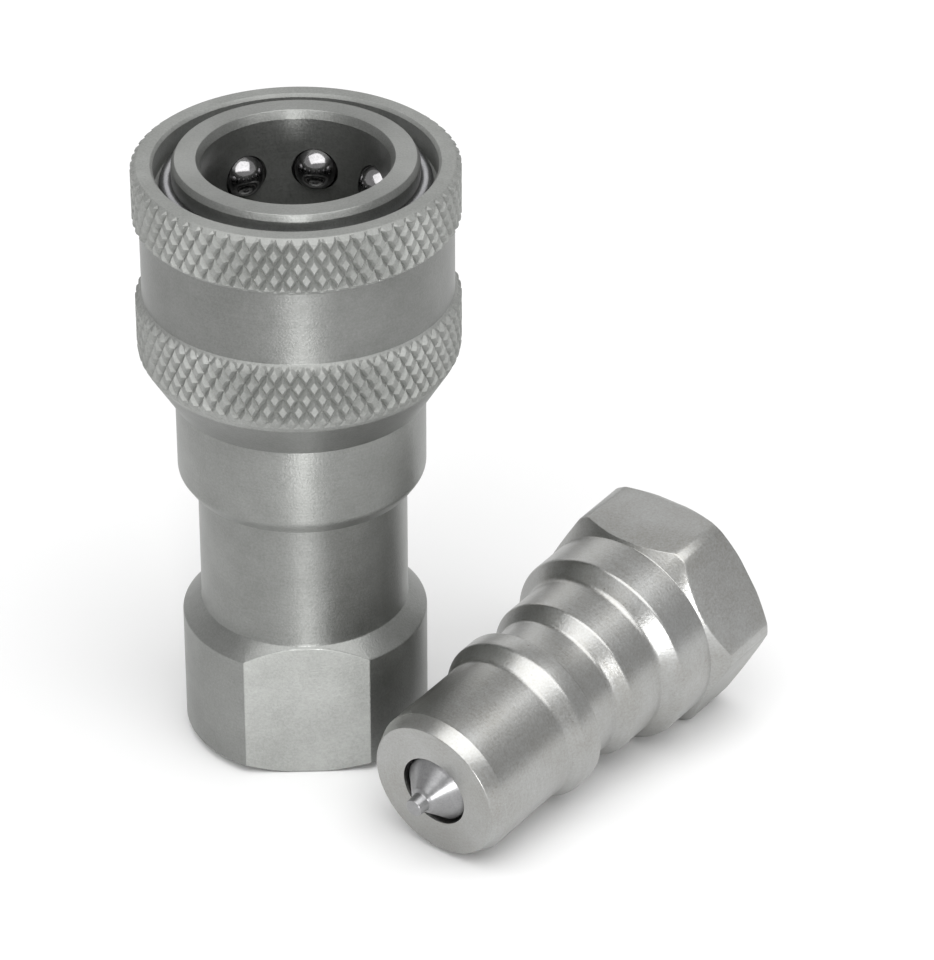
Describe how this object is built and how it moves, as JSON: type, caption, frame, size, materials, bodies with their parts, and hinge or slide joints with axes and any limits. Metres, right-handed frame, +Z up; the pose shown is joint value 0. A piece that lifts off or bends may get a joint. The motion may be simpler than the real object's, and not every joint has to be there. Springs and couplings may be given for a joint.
{
  "type": "quick disconnect coupler",
  "caption": "Quick disconnect coupler: ball-lock socket with knurled spring sleeve and matching plug, both with sprung poppet valves and pipe-thread ends.",
  "frame": {"origin": "middle of the socket half's bottom face, at the mouth of its pipe port", "axes": "+Z up along the socket's axis towards its mouth, +X to the right along the table, +Y away to the rear"},
  "size_m": [0.0651, 0.0475, 0.0673],
  "materials": {
    "socket_zinc": "satin zinc plate over turned steel",
    "sleeve_zinc": "satin zinc plate, knurled",
    "nipple_zinc": "bright zinc plate with turning marks",
    "turned_steel": "bright turned steel",
    "ball_steel": "polished bearing steel",
    "spring_steel": "drawn spring wire",
    "guide_brass": "turned brass",
    "seal_rubber": "matte nitrile rubber",
    "backup_plastic": "white PTFE"
  },
  "bodies": {
    "socket": {"socket_body": "socket_zinc", "socket_adapter": "socket_zinc", "adapter_seal": "seal_rubber", "retaining_ring": "spring_steel", "bore_o_ring": "seal_rubber", "bore_backup_ring": "backup_plastic", "socket_valve_guide": "guide_brass", "sleeve_spring": "spring_steel", "socket_valve_spring": "spring_steel"},
    "sleeve": {"lock_sleeve": "sleeve_zinc"},
    "ball_1": {"lock_ball_1": "ball_steel"},
    "ball_2": {"lock_ball_2": "ball_steel"},
    "ball_3": {"lock_ball_3": "ball_steel"},
    "ball_4": {"lock_ball_4": "ball_steel"},
    "ball_5": {"lock_ball_5": "ball_steel"},
    "ball_6": {"lock_ball_6": "ball_steel"},
    "ball_7": {"lock_ball_7": "ball_steel"},
    "ball_8": {"lock_ball_8": "ball_steel"},
    "socket_valve": {"socket_poppet": "turned_steel", "socket_poppet_seal": "seal_rubber"},
    "nipple": {"nipple_body": "nipple_zinc", "nipple_valve_guide": "guide_brass", "nipple_guide_clip": "spring_steel", "nipple_valve_spring": "spring_steel"},
    "nipple_valve": {"nipple_poppet": "turned_steel", "nipple_poppet_seal": "seal_rubber"}
  },
  "joints": [
    {"name": "sleeve_pull", "type": "slide", "parent": "socket", "child": "sleeve", "axis": [0, 0, -1], "range_m": [0, 0.0058], "stiffness_N_per_m": 2500, "springref_m": -0.004, "deforming": ["sleeve_spring"]},
    {"name": "ball_1_out", "type": "slide", "parent": "socket", "child": "ball_1", "axis": [0.2079, 0.9781, 0], "range_m": [0, 0.0015]},
    {"name": "ball_2_out", "type": "slide", "parent": "socket", "child": "ball_2", "axis": [-0.5446, 0.8387, 0], "range_m": [0, 0.0015]},
    {"name": "ball_3_out", "type": "slide", "parent": "socket", "child": "ball_3", "axis": [-0.9781, 0.2079, 0], "range_m": [0, 0.0015]},
    {"name": "ball_4_out", "type": "slide", "parent": "socket", "child": "ball_4", "axis": [-0.8387, -0.5446, 0], "range_m": [0, 0.0015]},
    {"name": "ball_5_out", "type": "slide", "parent": "socket", "child": "ball_5", "axis": [-0.2079, -0.9781, 0], "range_m": [0, 0.0015]},
    {"name": "ball_6_out", "type": "slide", "parent": "socket", "child": "ball_6", "axis": [0.5446, -0.8387, 0], "range_m": [0, 0.0015]},
    {"name": "ball_7_out", "type": "slide", "parent": "socket", "child": "ball_7", "axis": [0.9781, -0.2079, 0], "range_m": [0, 0.0015]},
    {"name": "ball_8_out", "type": "slide", "parent": "socket", "child": "ball_8", "axis": [0.8387, 0.5446, 0], "range_m": [0, 0.0015]},
    {"name": "socket_valve_press", "type": "slide", "parent": "socket", "child": "socket_valve", "axis": [0, 0, -1], "range_m": [0, 0.0033], "stiffness_N_per_m": 1500, "springref_m": -0.004, "deforming": ["socket_valve_spring"]},
    {"name": "nipple_pull_away", "type": "slide", "parent": "socket", "child": "nipple", "axis": [0.6554, 0.7553, 0], "range_m": [0, 0.05]},
    {"name": "nipple_valve_press", "type": "slide", "parent": "nipple", "child": "nipple_valve", "axis": [0.6525, 0.7519, 0.0939], "range_m": [0, 0.0033], "stiffness_N_per_m": 1500, "springref_m": -0.004, "deforming": ["nipple_valve_spring"]}
  ],
  "couplings": [
    {"joint": "ball_1_out", "follows": "sleeve_pull", "ratio": 0.25},
    {"joint": "ball_2_out", "follows": "sleeve_pull", "ratio": 0.25},
    {"joint": "ball_3_out", "follows": "sleeve_pull", "ratio": 0.25},
    {"joint": "ball_4_out", "follows": "sleeve_pull", "ratio": 0.25},
    {"joint": "ball_5_out", "follows": "sleeve_pull", "ratio": 0.25},
    {"joint": "ball_6_out", "follows": "sleeve_pull", "ratio": 0.25},
    {"joint": "ball_7_out", "follows": "sleeve_pull", "ratio": 0.25},
    {"joint": "ball_8_out", "follows": "sleeve_pull", "ratio": 0.25}
  ]
}
